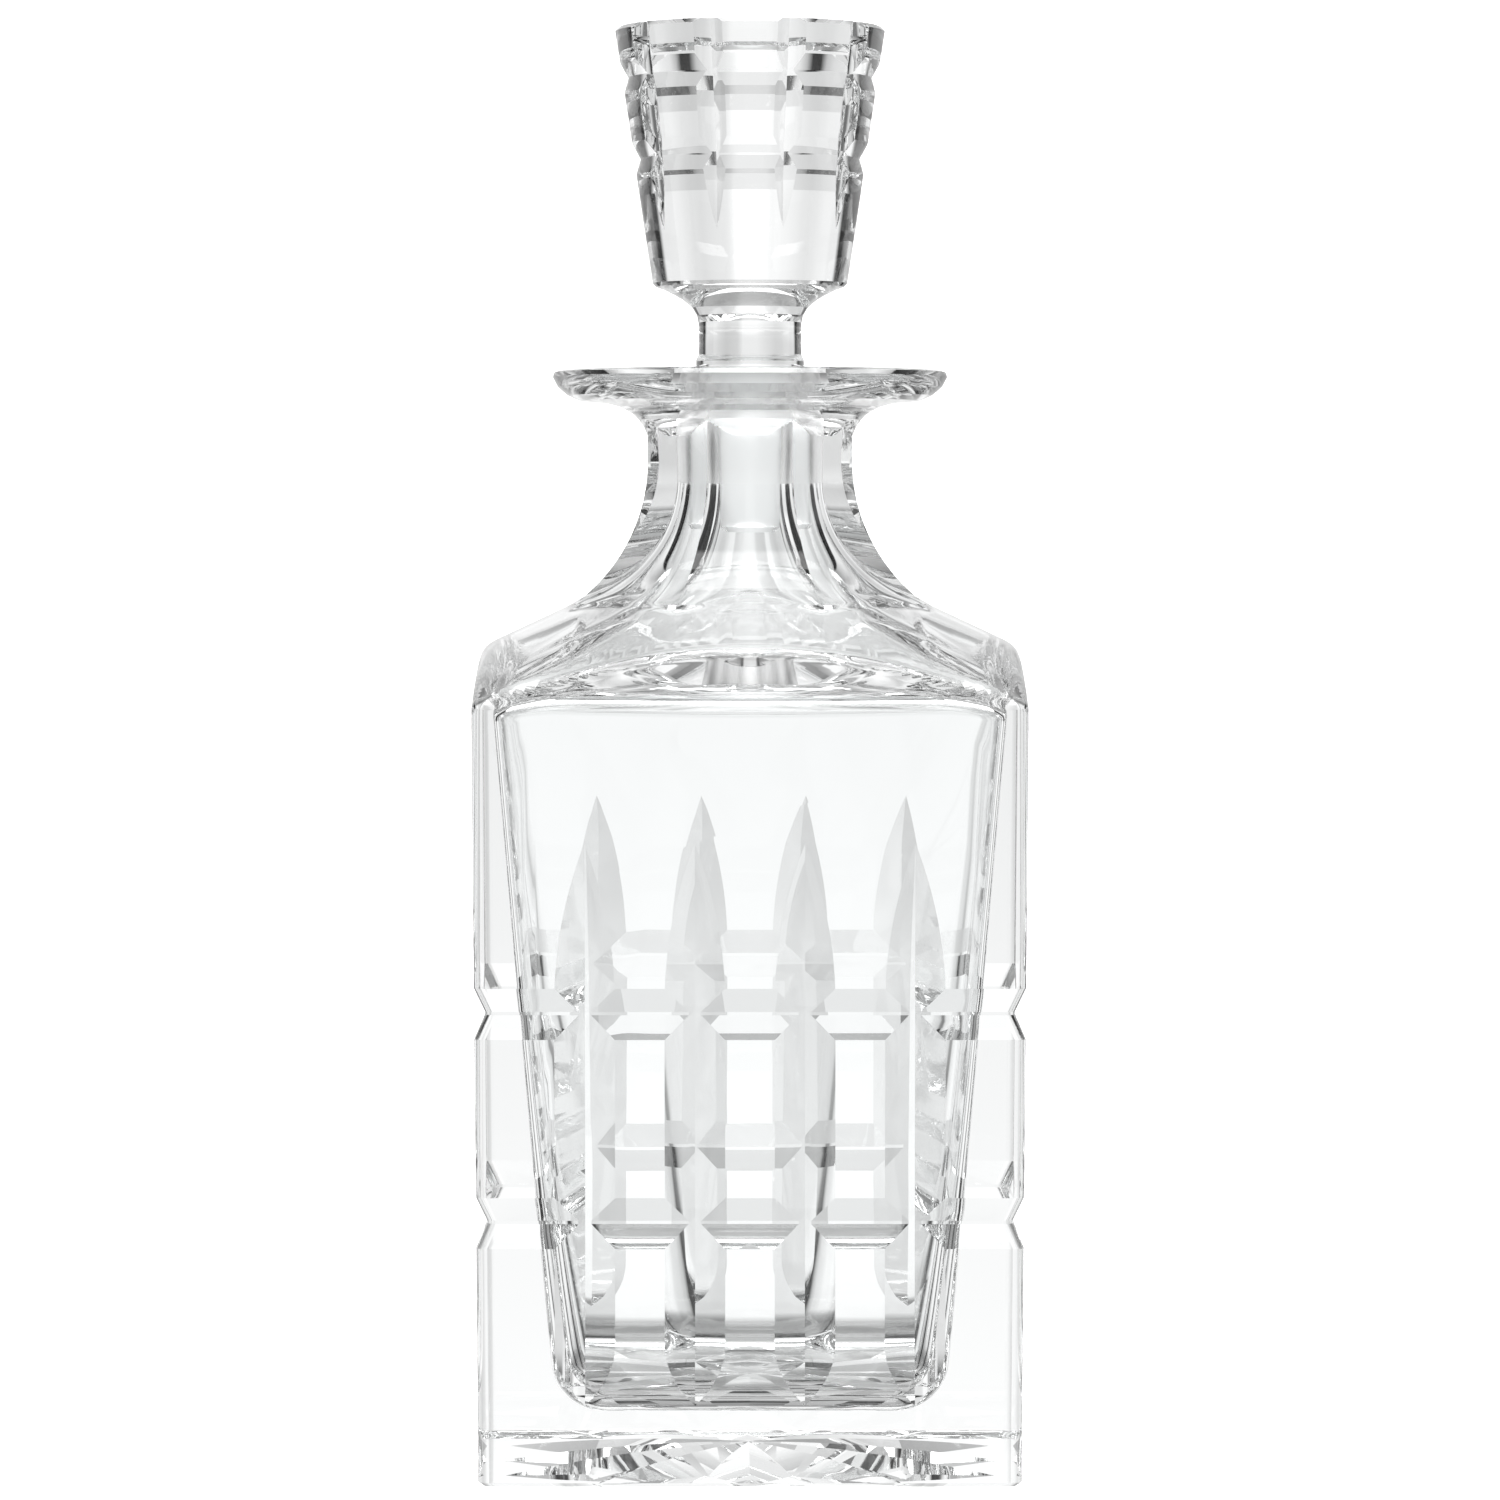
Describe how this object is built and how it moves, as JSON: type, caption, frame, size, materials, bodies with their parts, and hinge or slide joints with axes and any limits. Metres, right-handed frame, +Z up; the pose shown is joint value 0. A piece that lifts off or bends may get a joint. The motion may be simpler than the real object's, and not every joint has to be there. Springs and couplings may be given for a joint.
{
  "type": "cut crystal decanter",
  "caption": "Square cut crystal decanter with a conical shoulder, eight-sided neck, disc lip and a tapered cut stopper that lifts out of its ground mouth.",
  "frame": {"origin": "centre of the flat base the decanter stands on", "axes": "+Z up along the neck and stopper, -Y the front flat side, +X to the right of it"},
  "size_m": [0.1016, 0.1016, 0.27],
  "materials": {
    "lead_crystal": "polished clear lead crystal"
  },
  "bodies": {
    "decanter_body": {"vessel": "lead_crystal"},
    "stopper_body": {"stopper": "lead_crystal"}
  },
  "joints": [
    {"name": "stopper_lift", "type": "slide", "parent": "decanter_body", "child": "stopper_body", "axis": [0, 0, 1], "range_m": [0, 0.06]}
  ]
}
